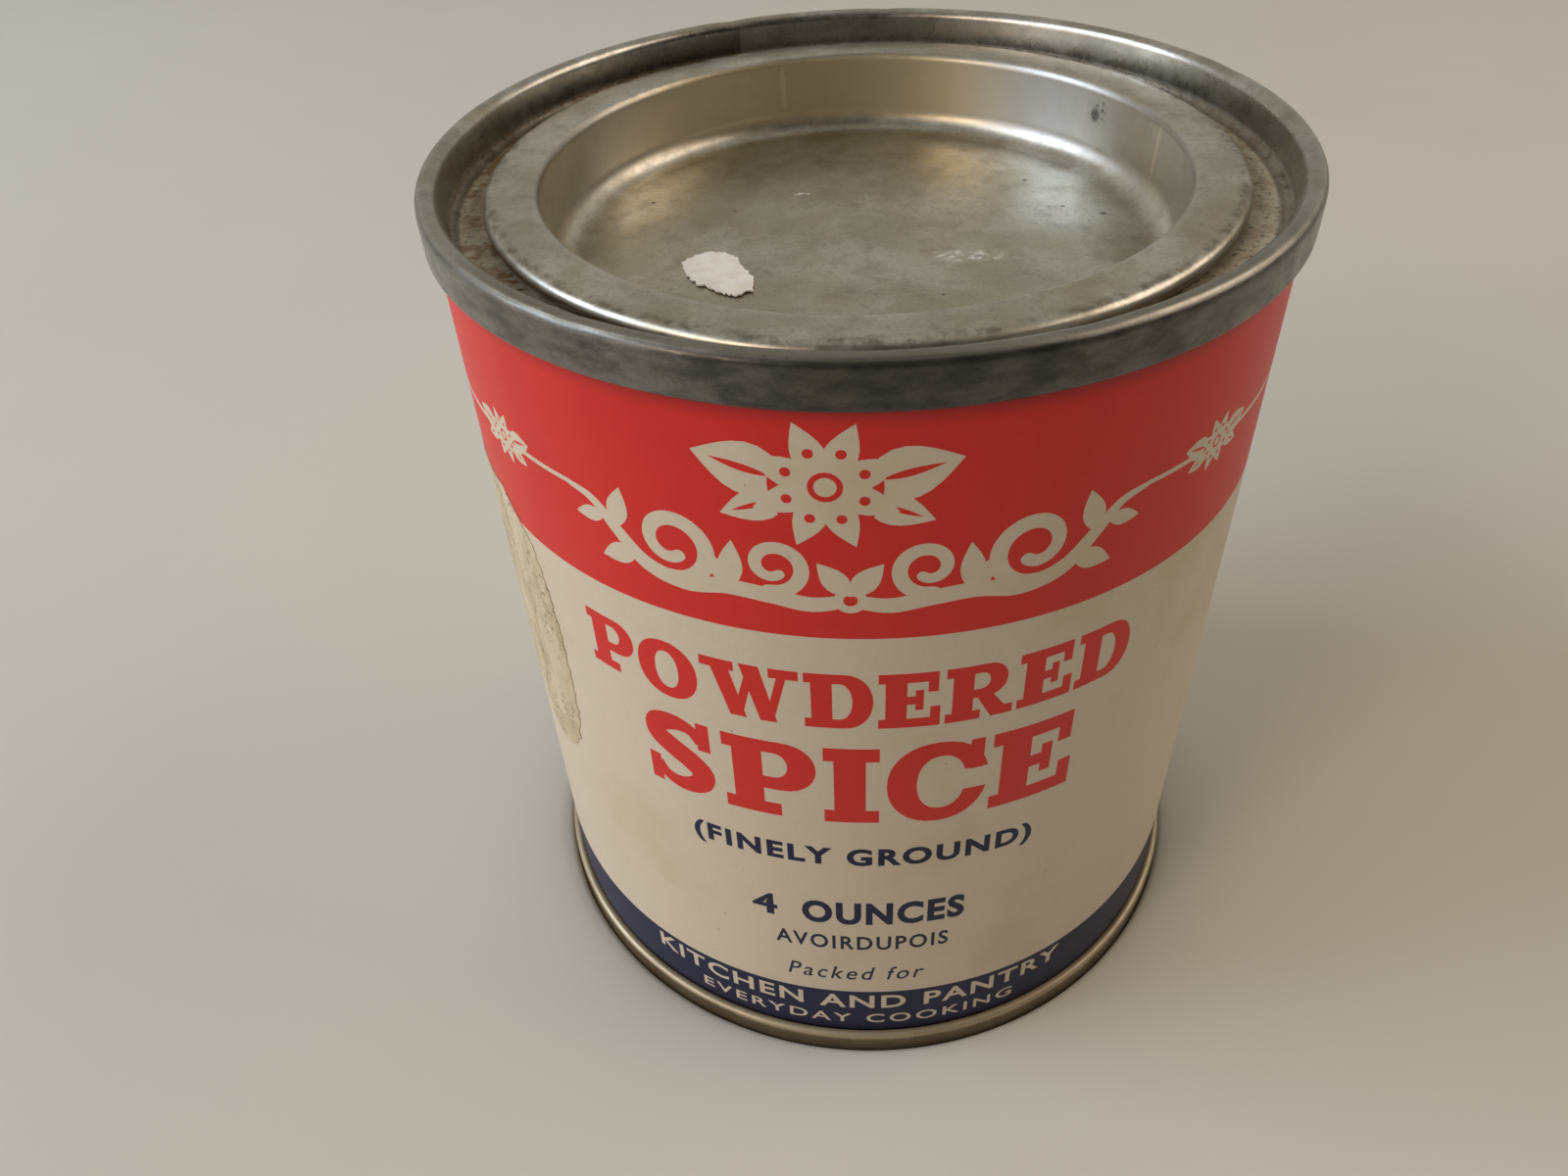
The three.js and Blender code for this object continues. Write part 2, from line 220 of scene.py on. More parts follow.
class Finish:
    """One node material. Its patterns are placed by the piece's own coordinates, in millimetres."""

    def __init__(self, name, **settings):
        self.material = bpy.data.materials.new(name)
        self.material.use_nodes = True
        self.tree = self.material.node_tree
        self.shader = self.tree.nodes["Principled BSDF"]
        coordinates = self.tree.nodes.new("ShaderNodeTexCoord").outputs["Object"]
        self.place = self.vector("SCALE", coordinates, scale=1 / MM)
        x, y, self.height = self.split(self.place)
        self.radius = self.vector("LENGTH", self.vector("MULTIPLY", self.place, (1, 1, 0)), out="Value")
        self.azimuth = self.calc("ARCTAN2", x, self.calc("MULTIPLY", y, -1))
        self.colour = None
        self.normal = None
        for socket, value in settings.items():
            self.set(socket.replace("_", " ").title().replace("Ior", "IOR"), value)

    def feed(self, socket, value):
        """Links a socket to another node's output, or sets its constant value."""
        if isinstance(value, bpy.types.NodeSocket):
            self.tree.links.new(value, socket)
        elif hasattr(value, "__len__") and len(value) == 3 and len(socket.default_value) == 4:
            socket.default_value = (*value, 1)
        else:
            socket.default_value = value

    def set(self, socket, value):
        self.feed(self.shader.inputs[socket], value)

    def vector(self, operation, a, b=None, scale=None, out="Vector"):
        node = self.tree.nodes.new("ShaderNodeVectorMath")
        node.operation = operation
        self.feed(node.inputs[0], a)
        if b is not None:
            self.feed(node.inputs[1], b)
        if scale is not None:
            node.inputs["Scale"].default_value = scale
        return node.outputs[out]

    def split(self, vector):
        node = self.tree.nodes.new("ShaderNodeSeparateXYZ")
        self.feed(node.inputs[0], vector)
        return node.outputs

    def calc(self, operation, a, b=0.0, clamp=False):
        node = self.tree.nodes.new("ShaderNodeMath")
        node.operation = operation
        node.use_clamp = clamp
        self.feed(node.inputs[0], a)
        self.feed(node.inputs[1], b)
        return node.outputs[0]

    def noise(self, size, detail=3.0, stretch=(1, 1, 1), roughness=0.55, offset=0.0):
        """Noise from 0 to 1 with features of about that size in millimetres along each axis."""
        scaled = self.vector("MULTIPLY", self.place, tuple(1 / (size * s) for s in stretch))
        node = self.tree.nodes.new("ShaderNodeTexNoise")
        self.feed(node.inputs["Vector"], self.vector("ADD", scaled, (offset, offset, offset)))
        node.inputs["Scale"].default_value = 1
        node.inputs["Detail"].default_value = detail
        node.inputs["Roughness"].default_value = roughness
        return node.outputs["Fac"]

    def step(self, value, low, high):
        """0 below low, 1 above high, smooth between; falling where low is above high."""
        node = self.tree.nodes.new("ShaderNodeMapRange")
        node.interpolation_type = "SMOOTHSTEP"
        rising = low < high
        self.feed(node.inputs["Value"], value)
        node.inputs["From Min"].default_value = min(low, high)
        node.inputs["From Max"].default_value = max(low, high)
        node.inputs["To Min"].default_value = 0 if rising else 1
        node.inputs["To Max"].default_value = 1 if rising else 0
        return node.outputs["Result"]

    def band(self, value, start, full, fading, end):
        """1 from full to fading, falling smoothly to 0 at the start and at the end."""
        return self.both(self.step(value, start, full), self.step(value, end, fading))

    def patches(self, size, low, high, **noise_settings):
        """1 in ragged patches of about that size: noise cut off between two levels."""
        return self.step(self.noise(size, **noise_settings), low, high)

    def both(self, *masks):
        made = masks[0]
        for mask in masks[1:]:
            made = self.calc("MULTIPLY", made, mask)
        return made

    def either(self, a, b):
        return self.calc("MAXIMUM", a, b)

    def mix(self, mask, a, b):
        """Colour a where the mask is 0 and b where it is 1."""
        node = self.tree.nodes.new("ShaderNodeMix")
        node.data_type = "RGBA"
        self.feed(node.inputs[0], mask)
        self.feed(node.inputs[6], a)
        self.feed(node.inputs[7], b)
        return node.outputs[2]

    def paint(self, tone):
        """Starts the surface with one even sRGB colour."""
        self.colour = srgb(*tone)
        self.set("Base Color", self.colour)

    def tint(self, tone, *masks):
        """Lays a colour, either sRGB levels or a mixed one, over the surface where all masks are 1."""
        laid = srgb(*tone) if isinstance(tone, tuple) else tone
        self.colour = self.mix(self.both(*masks), self.colour, laid)
        self.set("Base Color", self.colour)

    def blend(self, mask, a, b):
        """Number a where the mask is 0 and b where it is 1."""
        node = self.tree.nodes.new("ShaderNodeMix")
        self.feed(node.inputs[0], mask)
        self.feed(node.inputs[2], a)
        self.feed(node.inputs[3], b)
        return node.outputs[0]

    def spot(self, azimuth, radius, height, size, stretch=(1, 1, 1)):
        """1 at a point of the piece, fading to 0 at that distance in millimetres."""
        centre = polar(azimuth, radius, height) / MM
        away = self.vector("SUBTRACT", self.place, tuple(centre))
        away = self.vector("MULTIPLY", away, tuple(1 / s for s in stretch))
        return self.step(self.vector("LENGTH", away, out="Value"), size, size * 0.4)

    def bump(self, pattern, depth):
        """Relief of the pattern, with its depth in millimetres, over any relief already there."""
        node = self.tree.nodes.new("ShaderNodeBump")
        node.inputs["Strength"].default_value = 1
        node.inputs["Distance"].default_value = depth * MM
        self.feed(node.inputs["Height"], pattern)
        if self.normal is not None:
            self.feed(node.inputs["Normal"], self.normal)
        self.normal = node.outputs[0]
        self.set("Normal", self.normal)


# ---- Materials -----------------------------------------------------------------------------
def tinplate(name, pale=(210, 207, 198), dark=(178, 174, 162), roughness=0.34):
    """Aged tinplate: dull and clouded, with a fine grain, olive tarnish and a few dark pits."""
    tin = Finish(name, metallic=1.0)
    cloud = tin.noise(6, detail=4, roughness=0.6)
    mottle = tin.noise(1.5, detail=5, roughness=0.65, offset=9)
    grain = tin.noise(0.28, detail=2, offset=15)
    tin.paint(pale)
    tin.tint(dark, tin.step(cloud, 0.36, 0.66))
    tin.tint((176, 166, 134), tin.patches(5, 0.48, 0.7, detail=4, offset=31), 0.4)
    tin.tint(darker(dark, 0.8), tin.step(mottle, 0.48, 0.7), 0.4)
    tin.tint(darker(dark, 0.72), tin.step(grain, 0.45, 0.75), 0.3)
    pits = tin.patches(0.34, 0.72, 0.77, detail=2, offset=57)
    tin.tint((70, 62, 50), pits, 0.6)
    tin.set("Roughness", tin.blend(tin.step(mottle, 0.35, 0.7), roughness, roughness + 0.12))
    tin.bump(tin.noise(0.6, detail=2, offset=3), 0.003)
    tin.bump(tin.noise(6, detail=2, offset=12), 0.035)
    return tin


def ring_tinplate():
    """The top ring: tarnished on its arch and grimy on its side, both darkened towards the front by
    painted shade; darker and mottled on its chuck wall, with painted shade at the back-left; dusty and
    rusty in the trough.
    """
    tin = tinplate("ring_tinplate", roughness=0.26)
    # The front, facing the camera, gets painted shade on the arch and on the side of the seam.
    from_front = tin.calc("ABSOLUTE", tin.calc("SUBTRACT", tin.azimuth, math.radians(5)))
    front = tin.step(from_front, math.radians(115), math.radians(25))
    blotch = tin.noise(2.0, detail=6, roughness=0.7, stretch=(1.6, 1.6, 0.6), offset=5)
    arch = tin.step(tin.height, down(1.0), down(0.1))
    # The arch: tarnish patches round most of it, and painted shade darkening it heavily at the front.
    worn = tin.blend(front, tin.both(tin.step(blotch, 0.5, 0.66), 0.3), tin.blend(blotch, 0.45, 1.0))
    tin.tint((134, 130, 120), arch, worn)
    side = tin.step(tin.radius, 28.3, 28.5)
    # The side of the seam: dirt all round, made much darker at the front by painted shade.
    dirt_and_front_shade = tin.mix(front, srgb(118, 115, 106), srgb(68, 65, 59))
    tin.tint(dirt_and_front_shade, side, tin.blend(tin.step(blotch, 0.34, 0.64), 0.97, 0.72))
    # Painted shade: the side of the seam almost black round the middle of the front.
    deepest_front_shade = tin.step(from_front, math.radians(34), math.radians(8))
    tin.tint((38, 36, 32), side, deepest_front_shade, tin.blend(blotch, 0.9, 0.35))
    wall = tin.band(tin.radius, 26.7, 26.9, 27.15, 27.35)
    tin.tint((138, 137, 134), wall, tin.blend(blotch, 0.1, 0.7))
    # Painted shade: the chuck wall darker at the back-left, from a sharp edge at -158.8 degrees, fading
    # out by -70 degrees.
    joint = tin.step(tin.azimuth, math.radians(-159.2), math.radians(-158.4))
    shaded = tin.both(wall, joint, tin.step(tin.azimuth, math.radians(-70), math.radians(-150)))
    tin.tint((92, 88, 80), shaded, 0.7)
    low = tin.step(tin.height, down(2.2), down(2.75))
    floor = tin.both(tin.band(tin.radius, 22.6, 23.4, 27.15, 27.35), low)
    tin.tint((198, 187, 160), floor, 0.92)
    rust = tin.patches(2.0, 0.42, 0.6, detail=6, roughness=0.7, offset=17)
    left = tin.step(tin.azimuth, math.radians(10), math.radians(-50))
    tin.tint((140, 104, 60), floor, rust, tin.blend(left, 0.5, 0.95))
    lime = tin.patches(1.3, 0.58, 0.68, detail=6, roughness=0.75, offset=47)
    tin.tint((216, 208, 188), floor, lime, 0.6)
    specks = tin.patches(0.45, 0.56, 0.63, detail=4, roughness=0.65, offset=23)
    tin.tint((60, 50, 38), floor, specks, 0.8)
    crevice = tin.both(tin.band(tin.radius, 26.2, 26.5, 27.15, 27.35), low)
    tin.tint((56, 47, 36), crevice, 0.7)
    bare = tin.either(tin.both(floor, 0.85), tin.both(side, tin.blend(front, 0.25, 0.6)))
    tin.set("Metallic", tin.calc("SUBTRACT", 1.0, bare))
    tin.bump(tin.both(floor, tin.noise(0.5, detail=4, offset=40)), 0.08)
    tin.bump(tin.both(side, blotch), 0.05)
    return tin.material


DARK_SPECKS = (
    (16.9, 3.0, 0.34), (12.1, 9.0, 0.26), (14.3, 4.3, 0.22), (5.2, -8.9, 0.24), (19.8, -4.3, 0.3),
    (-9.0, 4.5, 0.2), (-15.2, 6.4, 0.26), (3.0, 13.6, 0.2), (9.2, -12.0, 0.2), (-3.5, 10.2, 0.16),
)


def lid_tinplate():
    """The lid: dull panel, stained round its foot, worn along the flange, with a smear of white;
    painted reflections on its pan's wall and painted shade beneath its flange's curl.
    """
    tin = tinplate("lid_tinplate", (219, 215, 204), (192, 187, 172), roughness=0.3)
    panel = tin.step(tin.radius, 19.8, 18.6)
    bloom = tin.patches(9, 0.42, 0.62, detail=3, offset=70)
    tin.tint((192, 187, 156), panel, bloom, 0.3)
    wall = tin.band(tin.radius, 20.3, 20.8, 21.15, 21.35)
    tin.tint((166, 162, 154), wall, 0.8)
    # Painted reflection: the back of the pan's wall, which faces the front, paler and less metallic,
    # warm on its left and grey on its right.
    from_back = tin.calc("SUBTRACT", math.radians(180), tin.calc("ABSOLUTE", tin.azimuth))
    back_wall = tin.both(wall, tin.step(from_back, math.radians(75), math.radians(25)))
    warm_reflection_side = tin.step(tin.calc("SINE", tin.azimuth), 0.7, 0.25)
    reflection_tone = tin.mix(warm_reflection_side, srgb(178, 179, 180), srgb(196, 180, 140))
    tin.tint(reflection_tone, back_wall, 0.8)
    foot = tin.band(tin.radius, 16.6, 18.8, 19.4, 20.2)
    stain = tin.patches(3.2, 0.38, 0.66, detail=4, offset=91)
    tin.tint((150, 134, 102), foot, stain, 0.45)
    flange = tin.step(tin.radius, 21.4, 22.2)
    haze = tin.patches(3.5, 0.4, 0.7, detail=4, offset=83)
    tin.tint((166, 158, 138), flange, haze, 0.5)
    edge = tin.band(tin.radius, 23.5, 24.1, 24.2, 24.6)
    wear = tin.patches(1.1, 0.42, 0.62, detail=6, roughness=0.7, offset=29)
    tin.tint((110, 103, 88), edge, wear, 0.7)
    # Painted shade: the lower half of the flange's curled edge darkened.
    shade_below_flange = tin.step(tin.height, down(1.9), down(2.2))
    tin.tint((70, 64, 54), shade_below_flange, flange, 0.8)
    # Painted reflections: two thin pale vertical streaks on the pan's wall.
    for azimuth in (-163.0, 103.8):
        line = tin.spot(azimuth, 21.0, down(4.0), 3.0, stretch=(0.11, 0.11, 1))
        tin.tint((240, 228, 206), line, 0.3)
    fleck = tin.either(
        tin.spot(124.7, 21.1, down(3.5), 0.6, stretch=(1, 1, 1.2)),
        tin.both(tin.spot(124.2, 21.1, down(3.2), 1.3), tin.patches(0.35, 0.56, 0.62, detail=3)),
    )
    for x, y, size in DARK_SPECKS:
        azimuth = math.degrees(math.atan2(x, -y))
        fleck = tin.either(fleck, tin.spot(azimuth, math.hypot(x, y), down(7.0), size))
    tin.tint((48, 41, 33), fleck, 0.85)
    smear = tin.spot(63.4, 7.83, down(6.9), 3.3, stretch=(1.2, 0.32, 1))
    crumb = tin.spot(-149.2, 8.4, down(6.9), 0.9, stretch=(1.2, 0.3, 1))
    chalk = tin.patches(0.6, 0.46, 0.6, detail=5, roughness=0.65, offset=14)
    chalky = tin.both(tin.either(smear, crumb), chalk)
    tin.tint((214, 210, 200), chalky)
    dull = tin.either(tin.either(chalky, fleck), tin.both(back_wall, 0.6))
    tin.set("Metallic", tin.blend(dull, 1.0, 0.1))
    return tin.material


def bottom_tinplate():
    """The bottom end: its seam browned and darkened on the side by tarnish and painted shade, with a
    painted highlight along the shoulder.
    """
    tin = tinplate("bottom_tinplate", (176, 162, 134), (128, 112, 86))
    blotch = tin.noise(2.2, detail=5, roughness=0.65, stretch=(1.6, 1.6, 0.6), offset=64)
    # Brown tarnish with painted shade: the side of the seam darkened below its rounded top.
    side = tin.both(tin.step(tin.radius, 28.2, 28.45), tin.step(tin.height, 2.9, 2.4))
    tin.tint((98, 82, 57), side, tin.blend(blotch, 0.6, 1.0))
    # Painted highlight: a pale band along the rounded top of the seam.
    shoulder = tin.both(tin.step(tin.radius, 27.8, 28.0), tin.step(tin.height, 2.72, 2.92))
    tin.tint((196, 182, 152), shoulder, tin.blend(blotch, 0.9, 0.4))
    dull = tin.either(tin.both(shoulder, 0.6), tin.both(side, 0.4))
    tin.set("Metallic", tin.calc("SUBTRACT", 1.0, dull))
    return tin.material


def label_print(name, ink, worn, dirtied, shine=0.36):
    """Ink on the varnished label paper: faint mottle, yellowing, tiny rubbed specks, and painted shade
    along its top and bottom edges.
    """
    paper = Finish(name, roughness=0.4, specular_ior_level=shine)
    fibre = paper.noise(0.35, detail=4)
    blotch = paper.noise(9, detail=4, offset=6)
    paper.paint(ink)
    paper.tint(worn, paper.step(fibre, 0.4, 0.75), 0.3)
    paper.tint(dirtied, paper.step(blotch, 0.48, 0.75), 0.5)
    specks = paper.patches(0.5, 0.75, 0.78, detail=2, offset=44)
    paper.tint(worn, specks, 0.6)
    dirt = paper.patches(0.6, 0.75, 0.78, detail=2, offset=77)
    paper.tint((92, 74, 54), dirt, 0.5)
    # Painted shade: the print darker towards its top and bottom edges, next to the seams.
    edge = paper.either(
        paper.step(paper.height, LABEL_TOP - 1.2, LABEL_TOP),
        paper.step(paper.height, LABEL_BOTTOM + 1.0, LABEL_BOTTOM),
    )
    paper.tint(darker(ink, 0.5), edge, 0.4)
    paper.bump(fibre, 0.004)
    paper.bump(paper.noise(4, detail=2, offset=8), 0.02)
    return paper.material


def matte(name, pale, dark, grain, roughness=0.85, relief=0.04):
    """Dull granular or fibrous material with two mottled tones."""
    dull = Finish(name, roughness=roughness)
    mottle = dull.noise(grain, detail=5)
    dull.paint(pale)
    dull.tint(dark, dull.step(mottle, 0.35, 0.68))
    dull.bump(dull.noise(grain / 2, detail=4, offset=4), relief)
    return dull.material


def old_adhesive():
    """Old adhesive film: pale and yellowed, with dark grit caught in ragged clusters."""
    film = Finish("old_adhesive", roughness=0.45)
    cloud = film.noise(3.0, detail=5, roughness=0.65, stretch=(0.6, 0.6, 1.6))
    film.paint((216, 202, 172))
    film.tint((186, 168, 132), film.step(cloud, 0.35, 0.68))
    cluster = film.patches(2.2, 0.46, 0.6, detail=3, stretch=(0.8, 0.8, 2), offset=71)
    specks = film.patches(0.3, 0.53, 0.6, detail=4, roughness=0.65, offset=21)
    film.tint((88, 74, 56), cluster, specks, 0.85)
    film.bump(film.noise(0.5, detail=4, offset=9), 0.03)
    film.bump(cloud, 0.05)
    return film.material


# ---- Printed art: shapes laid out flat, along the label and up it, in millimetres ------------
def along(azimuth):
    """Distance along the label from the middle of its front."""
    return math.radians(azimuth) * LABEL_RADIUS


class Artwork:
    """Shapes of one ink each, kept as pairs of edge points; later ones cover earlier ones."""

    def __init__(self):
        self.layers = []

    def paint(self, ink, outline):
        corners = np.array(outline, float)
        self.paint_edges(ink, np.stack([corners, np.roll(corners, -1, axis=0)], axis=1))

    def paint_edges(self, ink, edges):
        self.layers.append((ink, edges))

    def placed(self, other, along_label, height, scale=1.0):
        """Adds another artwork, scaled, at a point of the label."""
        for ink, edges in other.layers:
            self.paint_edges(ink, edges * scale + np.array([along_label, height]))


def oval(x, y, rx, ry, power=2.0, steps=32):
    """Closed outline of an ellipse, squarer as the power grows."""
    outline = []
    for i in range(steps):
        c, s = math.cos(2 * math.pi * i / steps), math.sin(2 * math.pi * i / steps)
        outline.append((
            x + rx * math.copysign(abs(c) ** (2 / power), c),
            y + ry * math.copysign(abs(s) ** (2 / power), s),
        ))
    return outline


def box(x0, y0, x1, y1):
    return [(x0, y0), (x1, y0), (x1, y1), (x0, y1)]


def bowl(x0, y0, x1, y1, swell, steps=14):
    """Rectangle whose right side is rounded, as the bowl of a D or P."""
    middle, half = (y0 + y1) / 2, (y1 - y0) / 2
    outline = [(x0, y1), (x0, y0)]
    for i in range(steps + 1):
        angle = math.radians(-90 + 180 * i / steps)
        bulge = swell * abs(math.cos(angle)) ** 0.85
        outline.append((x1 - swell + bulge, middle + half * math.sin(angle)))
    return outline


def swung(x, y, turn):
    """The point (x, y) turned that many degrees about the origin."""
    c, s = math.cos(math.radians(turn)), math.sin(math.radians(turn))
    return c * x - s * y, s * x + c * y


def leaf(x, y, turn, length, width, steps=8):
    """Pointed leaf from its stalk at (x, y), turned that many degrees from the label's length."""
    side = [(i / steps, math.sin(math.pi * (i / steps) ** 0.85)) for i in range(steps + 1)]
    outline = [(length * t, width / 2 * s) for t, s in side]
    outline += [(length * t, -width / 2 * s) for t, s in side[-2:0:-1]]
    return [(x + a, y + b) for a, b in (swung(*point, turn) for point in outline)]


def smooth_path(points, steps=8):
    """Curve through the points; each point is (x, y, width)."""
    control = [Vector(p) for p in points]
    control = [2 * control[0] - control[1], *control, 2 * control[-1] - control[-2]]
    path = []
    for a, b, c, d in zip(control, control[1:], control[2:], control[3:]):
        for i in range(steps):
            t = i / steps
            path.append(
                0.5 * (2 * b + (c - a) * t + (2 * a - 5 * b + 4 * c - d) * t**2
                       + (3 * b - a - 3 * c + d) * t**3)
            )
    path.append(control[-2])
    return path


def stroke(points, steps=8, round_ends=True):
    """Outline of a pen stroke through points (x, y, width), with its ends rounded or cut."""
    path = smooth_path(points, steps)
    left, right = [], []
    for i, here in enumerate(path):
        ahead = path[min(i + 1, len(path) - 1)] - path[max(i - 1, 0)]
        direction = Vector((ahead.x, ahead.y)).normalized()
        side = Vector((-direction.y, direction.x)) * here.z / 2
        left.append((here.x + side.x, here.y + side.y))
        right.append((here.x - side.x, here.y - side.y))
    outline = left + right[::-1]
    if round_ends:
        for end, corner in ((path[-1], left[-1]), (path[0], right[0])):
            start = math.atan2(corner[1] - end.y, corner[0] - end.x)
            turns = [start - math.pi * k / 6 for k in range(1, 6)]
            at = outline.index(corner) + 1
            outline[at:at] = [
                (end.x + end.z / 2 * math.cos(turn), end.y + end.z / 2 * math.sin(turn))
                for turn in turns
            ]
    return outline


# Heavy slab-serif capitals, each one high. A glyph is its width and its painted shapes, which
# are True for ink and False for the paper showing through.
SLAB = 0.17
STEM = (0.1, 0.41)


def stem_with_slabs(foot=0.2):
    return [
        (True, box(STEM[0], 0, STEM[1], 1)),
        (True, box(0, 0, foot, SLAB)),
        (True, box(0, 1 - SLAB, 0.2, 1)),
    ]


S_SPINE = (
    (0.7, 0.74, 0.14), (0.6, 0.87, 0.15), (0.42, 0.91, 0.2), (0.22, 0.84, 0.25),
    (0.19, 0.68, 0.27), (0.36, 0.56, 0.28), (0.54, 0.46, 0.28), (0.68, 0.32, 0.27),
    (0.63, 0.16, 0.24), (0.43, 0.08, 0.19), (0.24, 0.13, 0.15), (0.14, 0.27, 0.14),
)

GLYPHS = {
    "P": (0.94, [
        *stem_with_slabs(0.58),
        (True, bowl(0.3, 0.36, 0.94, 1, 0.36)),
        (False, bowl(0.41, 0.53, 0.66, 0.85, 0.15)),
    ]),
    "O": (1.04, [
        (True, oval(0.52, 0.5, 0.52, 0.53, 2.15)),
        (False, oval(0.52, 0.5, 0.2, 0.34, 2.2)),
    ]),
    "W": (1.5, [
        (True, [(0.12, 1), (0.42, 1), (0.69, 0), (0.43, 0)]),
        (True, [(0.47, 0), (0.62, 0), (0.86, 0.93), (0.75, 1)]),
        (True, [(0.62, 1), (0.92, 1), (1.16, 0), (0.9, 0)]),
        (True, [(0.96, 0), (1.1, 0), (1.36, 1), (1.22, 1)]),
        (True, box(0, 1 - SLAB, 0.54, 1)),
        (True, box(1.06, 1 - SLAB, 1.5, 1)),
    ]),
    "D": (1.0, [
        *stem_with_slabs(),
        (True, bowl(0.3, 0, 1.0, 1, 0.44)),
        (False, bowl(0.41, 0.17, 0.7, 0.83, 0.2)),
    ]),
    "E": (0.9, [
        *stem_with_slabs(),
        (True, box(0.3, 1 - SLAB, 0.86, 1)),
        (True, box(0.71, 0.64, 0.86, 1)),
        (True, box(0.3, 0, 0.9, SLAB)),
        (True, box(0.75, 0, 0.9, 0.37)),
        (True, box(0.3, 0.43, 0.62, 0.58)),
        (True, box(0.53, 0.32, 0.65, 0.69)),
    ]),
    "R": (1.03, [
        *stem_with_slabs(0.53),
        (True, bowl(0.3, 0.4, 0.92, 1, 0.33)),
        (False, bowl(0.41, 0.56, 0.65, 0.85, 0.14)),
        (True, [(0.42, 0.5), (0.66, 0.5), (0.9, SLAB), (1.03, SLAB), (1.03, 0), (0.7, 0)]),
    ]),
    "S": (0.86, [
        (True, stroke(S_SPINE, steps=4, round_ends=False)),
        (True, box(0.66, 0.64, 0.8, 1)),
        (True, box(0.04, 0, 0.18, 0.37)),
    ]),
    "I": (0.54, [
        (True, box(STEM[0], 0, STEM[1], 1)),
        (True, box(0, 0, 0.54, SLAB)),
        (True, box(0, 1 - SLAB, 0.54, 1)),
    ]),
    "C": (0.96, [
        (True, oval(0.5, 0.5, 0.5, 0.53, 2.15)),
        (False, oval(0.53, 0.5, 0.24, 0.35, 2.2)),
        (False, box(0.7, 0.36, 1.1, 0.63)),
        (True, box(0.8, 0.62, 0.94, 1)),
    ]),
}


def slab_line(art, words, left, right, low, high, ink, paper=PAPER, gap=0.07):
    """Slab-serif capitals filling a stretch of the label from left to right."""
    letters = [GLYPHS[letter] for letter in words]
    total = sum(width for width, _ in letters) + gap * (len(letters) - 1)
    scale_x, scale_y = (right - left) / total, high - low
    pen = 0
    for width, shapes in letters:
        for inked, outline in shapes:
            art.paint(
                ink if inked else paper,
                [(left + (pen + x) * scale_x, low + y * scale_y) for x, y in outline],
            )
        pen += width + gap


def text_edges(words, spacing, weight, slant):
    """Edges of a line of plain lettering in Blender's built-in face, as pairs of points."""
    curve = bpy.data.curves.new("lettering", "FONT")
    curve.body = words
    curve.space_character = spacing
    curve.offset = weight
    curve.shear = slant
    curve.resolution_u = 4
    holder = bpy.data.objects.new("lettering", curve)
    bpy.context.scene.collection.objects.link(holder)
    bpy.context.view_layer.update()
    mesh = bpy.data.meshes.new_from_object(holder.evaluated_get(bpy.context.evaluated_depsgraph_get()))
    uses = {}
    for polygon in mesh.polygons:
        for key in polygon.edge_keys:
            uses[key] = uses.get(key, 0) + 1
    corners = np.array([v.co[:2] for v in mesh.vertices])
    outer = np.array([key for key, count in uses.items() if count == 1])
    bpy.data.objects.remove(holder)
    bpy.data.curves.remove(curve)
    bpy.data.meshes.remove(mesh)
    return corners[outer]


def plain_line(art, words, left, right, low, high, ink, spacing=1.2, weight=0.012, slant=0.0):
    """Plain lettering stretched to fill a part of the label."""
    edges = text_edges(words, spacing, weight, slant)
    lowest, highest = edges.min((0, 1)), edges.max((0, 1))
    size = np.array([right - left, high - low])
    art.paint_edges(ink, (edges - lowest) / (highest - lowest) * size + np.array([left, low]))


POD_TURNS = [22.5 + 45 * pod for pod in range(8)]


def anise_star():
    """Eight-pod star with a seed in each pod, between two leaves: the label's ornament."""
    art = Artwork()
    right_leaves = (
        (PAPER, 1.6, 0.2, 14, 5.0, 3.0), (PAPER, 1.6, -0.6, -22, 3.9, 1.9),
        (RED, 2.6, 0.45, 14, 3.1, 0.42), (RED, 2.6, -1.0, -22, 2.2, 0.3),
    )
    for ink, x, y, turn, length, width in right_leaves:
        art.paint(ink, leaf(x, y, turn, length, width))
        art.paint(ink, leaf(-x, y, 180 - turn, length, width))
    art.paint(RED, oval(0, 0, 2.75, 3.1))
    for turn in POD_TURNS:
        art.paint(PAPER, leaf(*swung(0.3, 0, turn), turn, 3.5, 1.65))
        art.paint(RED, oval(*swung(2.0, 0, turn), 0.27, 0.27, steps=12))
    art.paint(RED, oval(0, 0, 0.85, 0.85, steps=20))
    art.paint(PAPER, oval(0, 0, 0.55, 0.55, steps=16))
    return art


def tendril(x, y, radius, start, sweep, width, steps=16):
    """Pen stroke winding inwards round (x, y) from a start angle, both turns in degrees."""
    points = []
    for i in range(steps + 1):
        share = i / steps
        angle = math.radians(start + sweep * share)
        reach = radius * (1 - 0.66 * share)
        points.append((
            x + reach * math.cos(angle), y + reach * math.sin(angle), width * (1 - 0.3 * share),
        ))
    return points


